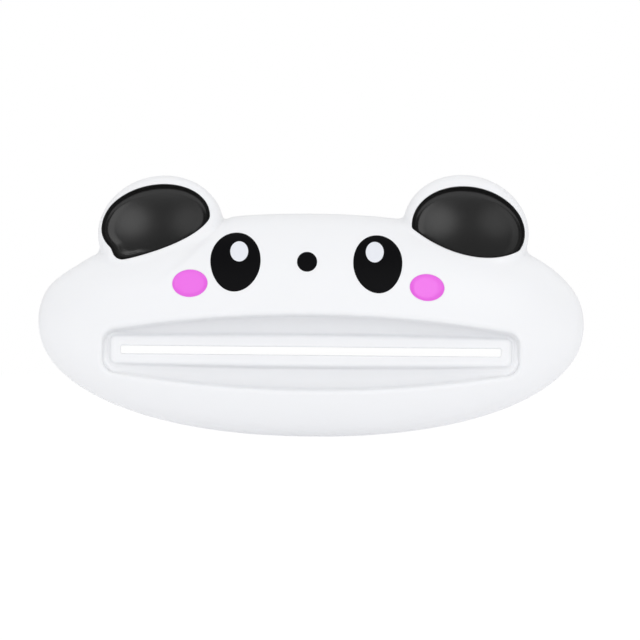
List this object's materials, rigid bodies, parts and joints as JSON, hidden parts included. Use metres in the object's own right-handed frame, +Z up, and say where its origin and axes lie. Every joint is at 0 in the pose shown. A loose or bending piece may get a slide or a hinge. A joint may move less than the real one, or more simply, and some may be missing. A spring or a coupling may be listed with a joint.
{
  "type": "toothpaste tube squeezer",
  "caption": "Slide-on toothpaste tube squeezer shaped as a panda's head, with a long narrow slot in its mouth that flattens the tube.",
  "frame": {"origin": "centre of the slot, on the plane where the front and rear shells part", "axes": "+X to the right of the face along the slot, +Y from the face to the back along the tube's travel, +Z up towards the ears"},
  "size_m": [0.095, 0.0205, 0.0458],
  "materials": {
    "white_plastic": "moulded white plastic, satin gloss",
    "black_gloss_paint": "gloss black paint",
    "black_ink": "semi-gloss black print",
    "pale_grey_ink": "semi-gloss pale grey print",
    "pink_paint": "gloss pink paint"
  },
  "bodies": {
    "root": {"front_shell": "white_plastic", "rear_shell": "white_plastic", "ear_paint_left": "black_gloss_paint", "ear_paint_right": "black_gloss_paint", "eye_left": "black_ink", "eye_right": "black_ink", "eye_glint_left": "pale_grey_ink", "eye_glint_right": "pale_grey_ink", "nose_dot": "black_ink", "cheek_left": "pink_paint", "cheek_right": "pink_paint"}
  },
  "joints": []
}
